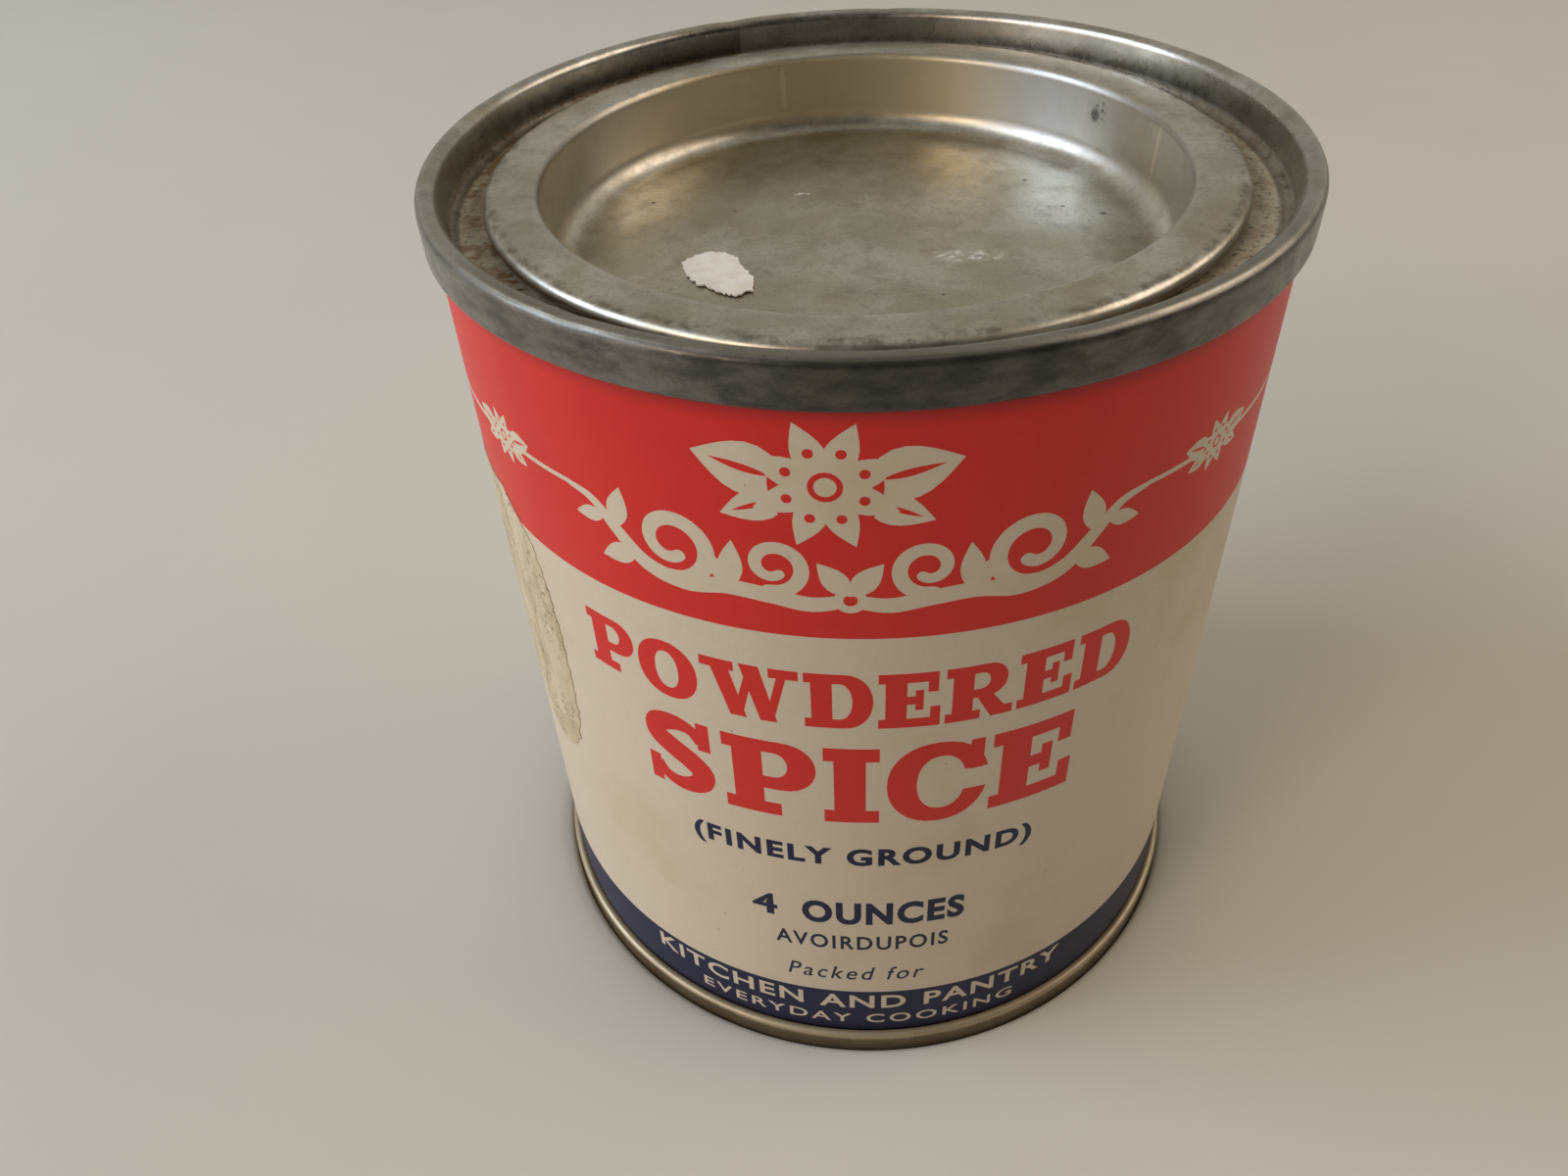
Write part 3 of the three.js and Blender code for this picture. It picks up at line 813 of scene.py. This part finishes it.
def garland():
    """Leafy scroll, the same on both sides, drawn in the paper's colour on the red band."""
    art = Artwork()
    half_stem = [
        (0.0, -2.5, 0.9), (2.2, -2.9, 1.1), (4.6, -2.5, 1.15), (7.2, -2.3, 1.15), (9.8, -2.7, 1.2),
        (12.3, -2.1, 1.15), (14.2, -0.3, 0.95), (15.8, 1.3, 0.65), (17.8, 1.8, 0.34),
    ]
    half_leaves = (
        (7.0, -2.4, 96, 3.6, 1.5), (6.9, -2.3, 62, 2.6, 1.2), (12.9, -1.5, -24, 3.0, 1.5),
        (14.3, -0.2, 104, 3.2, 1.5), (15.0, 0.4, -14, 2.4, 1.1),
    )
    for side in (-1, 1):
        art.paint(PAPER, stroke([(side * x, y, width) for x, y, width in half_stem]))
        for x, y, radius, width in ((10.4, 0.0, 2.6, 1.15), (4.3, -0.3, 1.9, 0.95)):
            curl = tendril(x, y, radius, -80, -400, width)
            art.paint(PAPER, stroke([(side * a, b, c) for a, b, c in curl], steps=3))
        for x, y, turn, length, width in half_leaves:
            turned_by = turn if side > 0 else 180 - turn
            art.paint(PAPER, leaf(side * x, y, turned_by, length, width))
    art.paint(PAPER, oval(0, -2.5, 0.95, 0.95, steps=20))
    art.paint(RED, oval(0, -2.5, 0.42, 0.42, steps=14))
    for turn in (52, 128):
        art.paint(PAPER, leaf(0, -2.2, turn, 3.0, 1.5))
    return art


LEFT_MOTIFS = (-97.5, -51.5)
RIGHT_MOTIFS = (47.7, 94.0, 140.0, 186.0)
ORNAMENT_SPAN = (-37.2, 34.9)
MOTIF_DEPTH = 11.4


def band_line(art):
    """Thin line round the red band, broken by small stars and by the ornament."""
    star = anise_star()
    height = down(MOTIF_DEPTH)
    for start, end in ((LABEL_START - 1, ORNAMENT_SPAN[0]), (ORNAMENT_SPAN[1], LABEL_END + 1)):
        art.paint(PAPER, box(along(start), height - 0.17, along(end), height + 0.17))
    for azimuth in LEFT_MOTIFS + RIGHT_MOTIFS:
        art.placed(star, along(azimuth), height, scale=0.5)


def side_panel(art):
    """Small lines of plain lettering on the back of the label."""
    centre = along(118)
    lines = (
        ("FOR CAKES AND COOKIES", 15.0, 29.0),
        ("PIES AND PUDDINGS", 12.0, 32.4),
        ("PICKLES AND SAUCES", 13.0, 35.8),
    )
    for words, half, depth in lines:
        plain_line(art, words, centre - half, centre + half, down(depth), down(depth - 1.5), NAVY)
    art.placed(flower_on_paper(), centre, down(43), scale=0.9)


def flower_on_paper():
    """Small red star printed on the bare paper."""
    art = Artwork()
    for turn in POD_TURNS:
        art.paint(RED, leaf(0, 0, turn, 3.4, 1.5))
    art.paint(PAPER, oval(0, 0, 0.7, 0.7, steps=16))
    return art


def label_art():
    art = Artwork()
    band_line(art)
    art.placed(garland(), along(-1.2), down(13.2))
    art.placed(anise_star(), along(-3.8), down(7.9), scale=1.12)
    slab_line(art, "POWDERED", along(-39.2), along(37.2), down(26.3), down(21.6), RED)
    slab_line(art, "SPICE", along(-31.8), along(30.0), down(35.6), down(28.2), RED)
    lines = (
        ("(FINELY GROUND)", -25.2, 25.2, 41.0, 38.5, NAVY, 1.2, 0.042, 0.0),
        ("4", -16.8, -12.8, 47.6, 45.0, NAVY, 1.0, 0.028, 0.0),
        ("OUNCES", -9.0, 15.6, 47.7, 44.9, NAVY, 1.15, 0.044, 0.0),
        ("AVOIRDUPOIS", -13.4, 13.4, 51.0, 49.2, NAVY, 1.2, 0.022, 0.0),
        ("Packed for", -11.8, 9.9, 55.2, 53.4, NAVY, 1.25, 0.008, 0.25),
        ("KITCHEN AND PANTRY", -37.0, 35.0, 59.4, 57.5, PAPER, 1.15, 0.022, 0.0),
        ("EVERYDAY COOKING", -28.0, 26.0, 61.6, 60.3, PAPER, 1.25, 0.014, 0.0),
    )
    for words, left, right, bottom, top, ink, spacing, weight, slant in lines:
        plain_line(
            art, words, along(left), along(right), down(bottom), down(top), ink, spacing, weight, slant
        )
    side_panel(art)
    return art


# ---- The label -----------------------------------------------------------------------------
def inside(points, edges):
    """Which points lie inside the edges, by the even-odd rule."""
    x, y = points[:, 0, None], points[:, 1, None]
    x0, y0, x1, y1 = edges[:, 0, 0], edges[:, 0, 1], edges[:, 1, 0], edges[:, 1, 1]
    straddles = (y0 > y) != (y1 > y)
    with np.errstate(divide="ignore", invalid="ignore"):
        crossing = x0 + (y - y0) * (x1 - x0) / (y1 - y0)
    return (straddles & (x < crossing)).sum(axis=1) % 2 == 1


def flat_label(art):
    """Flat triangles of the whole label and the ink of each, cut along the printed shapes.

    A grid keeps the triangles short; two of its rows are the edges of the coloured bands.
    """
    spans = round((LABEL_END - LABEL_START) / COLUMN_WIDTH)
    columns = np.linspace(along(LABEL_START), along(LABEL_END), spans + 1)
    rows = sorted({LABEL_BOTTOM, down(NAVY_BAND_DEPTH), down(RED_BAND_DEPTH), LABEL_TOP,
                   *np.linspace(down(52), down(23), 6), *np.linspace(down(15), down(6), 3)})
    grid = {}
    points, edges = [], []

    def point(x, y):
        key = (round(float(x), 4), round(float(y), 4))
        if key not in grid:
            grid[key] = len(points)
            points.append(Vector(key))
        return grid[key]

    for x in columns:
        for low, high in zip(rows, rows[1:]):
            edges.append((point(x, low), point(x, high)))
    for y in rows:
        for left, right in zip(columns, columns[1:]):
            edges.append((point(left, y), point(right, y)))
    for _, shape in art.layers:
        shape = shape.copy()
        shape[..., 0] = shape[..., 0].clip(columns[0], columns[-1])
        for start, end in shape:
            a, b = point(*start), point(*end)
            if a != b:
                edges.append((a, b))
    verts, _, faces, *_ = geometry.delaunay_2d_cdt(points, edges, [], 0, 1e-5, False)
    verts = np.array([tuple(v) for v in verts])
    faces = np.array(faces)
    middles = verts[faces].mean(axis=1)
    inks = np.full(len(faces), PAPER)
    inks[middles[:, 1] > down(RED_BAND_DEPTH)] = RED
    inks[middles[:, 1] < down(NAVY_BAND_DEPTH)] = NAVY
    for ink, shape in art.layers:
        low, high = shape.min((0, 1)), shape.max((0, 1))
        near = np.where(((middles >= low) & (middles <= high)).all(axis=1))[0]
        inks[near[inside(middles[near], shape)]] = ink
    return verts, faces, inks


def label_radius(azimuth):
    """Outer radius of the label, which steps up where its end laps over its start."""
    share = within((azimuth - LAP_RAMP[0]) / (LAP_RAMP[1] - LAP_RAMP[0]))
    return LABEL_RADIUS + LAP_RISE * share * share * (3 - 2 * share)


def paper_label():
    verts, faces, inks = flat_label(label_art())
    outer, inner = [], []
    for x, height in verts:
        azimuth = math.degrees(x / LABEL_RADIUS)
        radius = label_radius(azimuth)
        outer.append(polar(azimuth, radius, height))
        inner.append(polar(azimuth, radius - LABEL_THICKNESS, height))
    count = len(outer)
    front = [tuple(int(i) for i in face) for face in faces]
    back = [tuple(count + i for i in face[::-1]) for face in front]
    uses = set()
    for face in front:
        uses.update(zip(face, face[1:] + face[:1]))
    rim = sorted((b, a, count + a, count + b) for a, b in uses if (b, a) not in uses)
    materials = [
        label_print("label_paper", (216, 203, 180), (206, 191, 163), (202, 184, 150)),
        label_print("label_red", (216, 36, 32), (216, 50, 44), (204, 31, 28)),
        label_print("label_navy", (25, 28, 64), (38, 42, 78), (22, 25, 52), shine=0.22),
        matte("label_edge", (196, 180, 150), (160, 142, 112), 0.3, relief=0.01),
    ]
    shades = [int(i) for i in inks] + [BARE_EDGE] * (len(back) + len(rim))
    return mesh_object("label_sheet", outer + inner, front + back + rim, materials, inks=shades)


# ---- The metal -----------------------------------------------------------------------------
def cover_hook(face, direction):
    """Seam part of an end, from its hook's tip round to the top of its chuck wall."""
    arch = SHEET / 2 + SEAM_ARCH
    bend = SEAM_HEIGHT - SHEET / 2 - LAYER_PITCH
    path = [
        (COVER_HOOK, COVER_HOOK_TIP),
        *arc(BODY_HOOK, bend, LAYER_PITCH, 180, 0),
        *arc(COVER_HOOK, arch, SEAM_ARCH, 0, -180),
    ]
    return [(radius, face + direction * depth) for radius, depth in path]


NICKS = (
    (-158.0, 0.10, 2.2), (-32.0, 0.07, 1.8), (24.0, 0.05, 2.4), (112.0, 0.06, 2.0), (176.0, 0.08, 1.5),
)


def nicked(azimuth, radius, height):
    """Small knocks in the arch of the top seam, and the slight waviness of rolled sheet."""
    depth = TIN_HEIGHT - height
    if depth > 0.9 or radius < 27:
        return radius, height
    share = 1 - depth / 0.9
    angle = math.radians(azimuth)
    sink = 0.03 * (0.5 + 0.5 * smooth_noise(3 * math.sin(angle), 3 * math.cos(angle), 2))
    for centre, size, spread in NICKS:
        away = (azimuth - centre + 180) % 360 - 180
        sink += size * math.exp(-((away / spread) ** 2))
    return radius, height - sink * share


def top_ring():
    floor = TROUGH_DEPTH + SHEET / 2
    bend, bead, rise, curl = 0.55, 0.775, 0.35, 0.4
    bead_radius = THROAT_RADIUS + bead
    path = [
        *cover_hook(TIN_HEIGHT, -1),
        *arc(26.62, down(floor - bend), bend, 0, -90),
        *arc(bead_radius + bead + rise, down(floor - rise), rise, 270, 180),
        *arc(bead_radius, down(BEAD_DEPTH), bead, 0, 180),
        *arc(THROAT_RADIUS + curl, down(THROAT_DEPTH), curl, 180, 360),
        (THROAT_RADIUS + 2 * curl, down(THROAT_DEPTH - 0.6)),
    ]
    return turned("top_ring_metal", sheet_outline(path), ring_tinplate(), nicked)


def bottom_end():
    shelf = COUNTERSINK_DEPTH - SHEET / 2
    panel = shelf - PANEL_STEP
    foot, crease = 0.5, 0.3
    path = [
        *cover_hook(0, 1),
        *arc(26.75, shelf - foot, foot, 0, 90),
        *arc(25.5, shelf - crease, crease, 90, 135),
        *arc(24.1, panel + crease, crease, -45, -90),
        (16.0, panel),
        (8.0, panel),
        (0, panel),
    ]
    return turned("bottom_end_metal", sheet_outline(path), bottom_tinplate())


def uneven_lid(azimuth, radius, height):
    """The pressed panel isn't quite flat, and the flange lies a little wavy."""
    x, y = flat_place(azimuth, radius)
    panel = within((18.5 - radius) / 4)
    flange = within((radius - 22) / 1.5)
    height += 0.10 * panel * smooth_noise(x / 7, y / 7, 1.5)
    height -= 0.05 * flange * (0.5 + 0.5 * smooth_noise(x / 9, y / 9, 7.5))
    return radius, height


def plug_lid():
    flange = LID_FLANGE_DROP + SHEET / 2
    curl, mouth, foot = 0.5, 0.6, 1.9
    wall_top = THROAT_RADIUS - SHEET - 0.03
    panel = LID_PANEL_DEPTH + SHEET / 2
    curl_radius = LID_FLANGE_RADIUS - SHEET / 2 - curl
    path = [
        *arc(curl_radius, down(flange + 0.1 + curl), curl, -120, 90),
        (23.7, down(flange + 0.06)),
        (23.2, down(flange + 0.03)),
        (22.6, down(flange + 0.01)),
        *arc(wall_top + mouth, down(flange + mouth), mouth, 90, 180),
        *arc(wall_top - 0.22 - foot, down(panel - foot), foot, -3, -90),
        *[(17.5 - 1.4 * i, down(panel - 0.15 * (i + 1) / 5)) for i in range(5)],
        *[(10.5 - 1.5 * i, down(panel - 0.16)) for i in range(7)],
        (0, down(panel - 0.2)),
    ]
    return turned("plug_lid_metal", sheet_outline(path), lid_tinplate(), uneven_lid)


def body_wall():
    """Body sheet with both its hooks; the lock seam at the back stands in from the wall."""
    lower = [
        (BODY_HOOK, BODY_HOOK_TIP),
        *arc(COVER_HOOK, BODY_ARCH_DROP, LAYER_PITCH, 0, -180),
    ]
    upper = [(radius, TIN_HEIGHT - height) for radius, height in lower[::-1]]
    path = [*lower, (BODY_WALL, 3), (BODY_WALL, 5), (BODY_WALL, down(5)), (BODY_WALL, down(3)), *upper]
    outline = sheet_outline(path)

    def with_side_seam(azimuth, radius, height):
        across = math.radians(azimuth - 180) * BODY_WALL
        inner_face = radius < BODY_WALL - 0.05
        if inner_face and SIDE_SEAM_END < height < TIN_HEIGHT - SIDE_SEAM_END:
            return radius - 0.75 * within((SIDE_SEAM_HALF + 0.5 - abs(across)) / 0.5), height
        return radius, height

    metal = tinplate("body_tinplate", (150, 134, 104), (104, 86, 62), roughness=0.36)
    return turned("body_wall_metal", outline, metal.material, with_side_seam)


# ---- Small things on and in the tin ----------------------------------------------------------
def powder():
    """Settled powder with a soft, lumpy top, notched round the side seam."""
    radius = BODY_WALL - SHEET / 2 - 0.08
    bottom = COUNTERSINK_DEPTH + 0.05
    top = [(radius * i / 30, POWDER_TOP - 0.35 - 0.75 * (i / 30) ** 2) for i in range(31)]
    outline = [(0, bottom), (24.6, bottom), (26.6, bottom + 0.3), (radius, bottom + 1), *top[::-1]]

    def lumpy(azimuth, distance, height):
        x, y = flat_place(azimuth, distance)
        if height > POWDER_TOP - 2:
            height += 0.28 * smooth_noise(x / 5, y / 5, 0.5)
            height += 0.07 * smooth_noise(x / 1.2, y / 1.2, 3.5)
        if y > 0 and abs(x) < SIDE_SEAM_HALF + 2.2:
            distance = min(distance, 26.3 / max(y / distance, 0.5))
        return distance, height

    white = matte("powder_white", (236, 233, 224), (222, 217, 204), 0.8, roughness=0.95, relief=0.05)
    return turned("powder_heap", outline, white, lumpy)


SCRAP_OUTLINE = (
    (-12.0, -3.9), (-11.3, -2.7), (-9.5, -2.2), (-8.3, -3.0), (-7.4, -4.9), (-6.7, -6.4), (-6.8, -8.1),
    (-7.8, -8.9), (-9.0, -8.3), (-10.6, -7.1), (-11.6, -5.7),
)


def torn_outline(corners, steps, depth, rng):
    """The corners joined by ragged edges, torn inwards by up to that depth."""
    centre = Vector((sum(x for x, _ in corners), sum(y for _, y in corners))) / len(corners)
    outline = []
    for (x0, y0), (x1, y1) in zip(corners, corners[1:] + corners[:1]):
        for i in range(steps):
            at = Vector((x0 + (x1 - x0) * i / steps, y0 + (y1 - y0) * i / steps))
            outline.append(at + (centre - at).normalized() * depth * rng.random())
    return outline


def lid_scrap(rng):
    """Thin torn scrap of white paper lying on the lid's panel."""
    outline = torn_outline(SCRAP_OUTLINE, 7, 0.32, rng)
    count = len(outline)
    low, high = (
        [Vector((p.x, p.y, h)) * MM for p in outline] for h in (SCRAP_HEIGHT, SCRAP_HEIGHT + 0.11)
    )
    faces = [
        tuple(count + i for i in range(count)),
        tuple(range(count))[::-1],
        *[(i, (i + 1) % count, count + (i + 1) % count, count + i) for i in range(count)],
    ]
    white = matte("scrap_paper", (248, 244, 234), (236, 229, 214), 0.9, relief=0.01)
    return mesh_object("lid_scrap_paper", low + high, faces, [white], sharp_angle=30)


STRIP_ROWS = (
    (17.0, -73, -58), (17.5, -73.5, -55.9), (19.6, -74, -50.8), (23.5, -73, -48.4), (27.0, -72, -47.6),
    (31.0, -71, -47.3), (35.4, -68, -47.8), (38.0, -65, -49.0), (40.0, -61.5, -51.8), (41.0, -58, -55),
)


def adhesive_strip(rng):
    """Film of old adhesive down the left of the label, its edges ragged and its face rippled."""
    low, high = (c.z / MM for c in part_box("adhesive_strip"))
    depths, left_edges, right_edges = zip(*STRIP_ROWS)
    rows, columns = 70, 10
    outer, inner = [], []
    for i in range(rows + 1):
        height = low + 0.1 + (high - low - 0.2) * i / rows
        left = np.interp(down(height), depths, left_edges) + rng.uniform(-0.3, 0.3)
        right = np.interp(down(height), depths, right_edges) + rng.uniform(-0.35, 0.35)
        for j in range(columns + 1):
            azimuth = left + (right - left) * j / columns
            ripple = 0.02 * smooth_noise(azimuth / 1.4, height / 3, 5)
            outer.append(polar(azimuth, LABEL_RADIUS + 0.045 + ripple, height))
            inner.append(polar(azimuth, LABEL_RADIUS + 0.01, height))
    count, width = len(outer), columns + 1
    faces = []
    for i in range(rows):
        for j in range(columns):
            a = i * width + j
            faces.append((a, a + 1, a + 1 + width, a + width))
    faces += [tuple(count + k for k in face[::-1]) for face in list(faces)]
    edge = [*range(width), *range(2 * width - 1, count, width)]
    edge += [*range(count - 2, count - width - 1, -1), *range(count - 2 * width, 0, -width)]
    faces += [(b, a, count + a, count + b) for a, b in zip(edge, edge[1:] + edge[:1])]
    return mesh_object("adhesive_film", outer + inner, faces, [old_adhesive()])


# ---- Putting the tin together --------------------------------------------------------------
def place(piece, body, node, slot):
    """A piece that rides on a body and stands for a CAD node, which it hides. The slot is not used."""
    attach(piece, body)
    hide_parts(node)


def dress_hidden_nodes():
    """Finishes of the CAD solids that stay: the side seam's solder and both seams' compound."""
    compound = matte("seam_compound", (150, 128, 90), (118, 98, 66), 0.5, roughness=0.8)
    solder = tinplate("solder_metal", (190, 190, 188), (160, 160, 158), roughness=0.4).material
    finishes = {
        "top_seam_compound": compound,
        "bottom_seam_compound": compound,
        "side_seam_solder": solder,
    }
    for node, material in finishes.items():
        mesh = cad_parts[node].data
        mesh.materials.clear()
        mesh.materials.append(material)


def build_tin():
    rng = random.Random(11)
    place(body_wall(), "can", "body_shell", "body_tinplate")
    place(top_ring(), "can", "top_ring", "ring_tinplate")
    place(bottom_end(), "can", "bottom_end", "bottom_tinplate")
    place(paper_label(), "can", "paper_label", "label_paper")
    place(adhesive_strip(rng), "can", "adhesive_strip", "old_adhesive")
    place(powder(), "can", "powder_fill", "powder")
    place(plug_lid(), "lid", "plug_lid", "lid_tinplate")
    place(lid_scrap(rng), "lid", "lid_paper_scrap", "white_paper")
    dress_hidden_nodes()


# ---- Stage, lights and camera --------------------------------------------------------------
FLOOR_LEVEL = 1.6
FLOOR_PROFILE = (
    (26.0, -0.03), (27.9, -0.03), (28.3, 0.1), (28.55, 0.36), (28.63, 0.72), (28.66, 1.05), (28.8, 1.3),
    (29.2, 1.48), (30.2, 1.58), *((radius, FLOOR_LEVEL) for radius in (33, 60, 200, 2000)),
)


def add_floor():
    """Plain pale floor, soft enough for the lower seam to sink into it a little."""
    floor = Finish("pale_floor", roughness=0.9)
    mottle = floor.noise(60, detail=3)
    floor.paint((222, 218, 206))
    floor.tint((213, 209, 197), mottle)
    points = [
        polar(360 * i / SEGMENTS, radius, height)
        for radius, height in FLOOR_PROFILE
        for i in range(SEGMENTS)
    ]
    faces = [tuple(range(SEGMENTS))]
    for ring in range(len(FLOOR_PROFILE) - 1):
        start = ring * SEGMENTS
        for i in range(SEGMENTS):
            following = (i + 1) % SEGMENTS
            faces.append((
                start + i, start + SEGMENTS + i, start + SEGMENTS + following, start + following,
            ))
    mesh_object("floor", points, faces, [floor.material], sharp_angle=180)


def add_light(name, azimuth, elevation, distance, size, power, colour):
    """Soft square light aimed at the middle of the tin; azimuth and elevation in degrees."""
    lamp = bpy.data.lights.new(name, "AREA")
    lamp.size = size
    lamp.energy = power
    lamp.color = colour
    holder = bpy.data.objects.new(name, lamp)
    bpy.context.scene.collection.objects.link(holder)
    flat = distance * math.cos(math.radians(elevation))
    aim = Vector((0, 0, TIN_HEIGHT * MM / 2))
    holder.location = polar(azimuth, flat / MM, 0) + aim
    holder.location.z += distance * math.sin(math.radians(elevation))
    holder.rotation_euler = (aim - holder.location).to_track_quat("-Z", "Y").to_euler()


ROOM_COLOUR = (1.0, 0.95, 0.85)
ROOM_LIGHT = 0.38
DIM_SIDE = (0.25, -0.93, 0.27)
DIM_LIGHT = 0.03


def add_surroundings():
    """Even warm room, dimmer behind the camera, where a photographer would stand."""
    world = bpy.data.worlds.new("room")
    world.use_nodes = True
    nodes, links = world.node_tree.nodes, world.node_tree.links
    direction = nodes.new("ShaderNodeTexCoord").outputs["Generated"]
    facing = nodes.new("ShaderNodeVectorMath")
    facing.operation = "DOT_PRODUCT"
    facing.inputs[1].default_value = DIM_SIDE
    links.new(direction, facing.inputs[0])
    share = nodes.new("ShaderNodeMapRange")
    share.interpolation_type = "SMOOTHSTEP"
    share.inputs["From Min"].default_value = -0.1
    share.inputs["From Max"].default_value = 0.8
    share.inputs["To Min"].default_value = ROOM_LIGHT
    share.inputs["To Max"].default_value = DIM_LIGHT
    links.new(facing.outputs["Value"], share.inputs["Value"])
    background = nodes["Background"]
    background.inputs["Color"].default_value = (*ROOM_COLOUR, 1)
    links.new(share.outputs["Result"], background.inputs["Strength"])
    bpy.context.scene.world = world
    bpy.context.scene.view_settings.view_transform = "Standard"


# The camera's turns are in radians.
CAMERA_DISTANCE = 77.453
CAMERA_HEIGHT = 28.507
CAMERA_YAW = -0.0860
CAMERA_PITCH = 0.7160
CAMERA_ROLL = -0.0583
CAMERA_LENS = 27.215


def add_camera():
    """Camera close above the front of the tin, looking down at it and slightly rolled."""
    sight = Vector((
        math.sin(CAMERA_YAW) * math.cos(CAMERA_PITCH),
        math.cos(CAMERA_YAW) * math.cos(CAMERA_PITCH),
        -math.sin(CAMERA_PITCH),
    ))
    level = Vector((math.cos(CAMERA_YAW), -math.sin(CAMERA_YAW), 0))
    upright = level.cross(sight)
    right = math.cos(CAMERA_ROLL) * level + math.sin(CAMERA_ROLL) * upright
    up = math.cos(CAMERA_ROLL) * upright - math.sin(CAMERA_ROLL) * level
    lens = bpy.data.cameras.new("camera")
    lens.lens = CAMERA_LENS
    lens.sensor_width = 36
    lens.clip_start = 0.005
    camera = bpy.data.objects.new("camera", lens)
    bpy.context.scene.collection.objects.link(camera)
    turn = Matrix((right, up, -sight)).transposed().to_4x4()
    place_at = Vector((0, -CAMERA_DISTANCE, TIN_HEIGHT + CAMERA_HEIGHT)) * MM
    camera.matrix_world = Matrix.Translation(place_at) @ turn
    bpy.context.scene.camera = camera


add_camera()
add_surroundings()
add_floor()
add_light("window", -86, 34, 0.8, 0.36, 2.0, (0.55, 0.74, 1.0))
add_light("bright_wall", -74, 27, 1.0, 1.0, 4.6, (1.0, 0.95, 0.93))
add_light("front_lamp", -42, 34, 0.8, 0.2, 0.9, (1.0, 0.80, 0.62))
add_light("side_lamp", 100, 38, 0.8, 0.5, 1.6, (1.0, 0.86, 0.72))
build_tin()
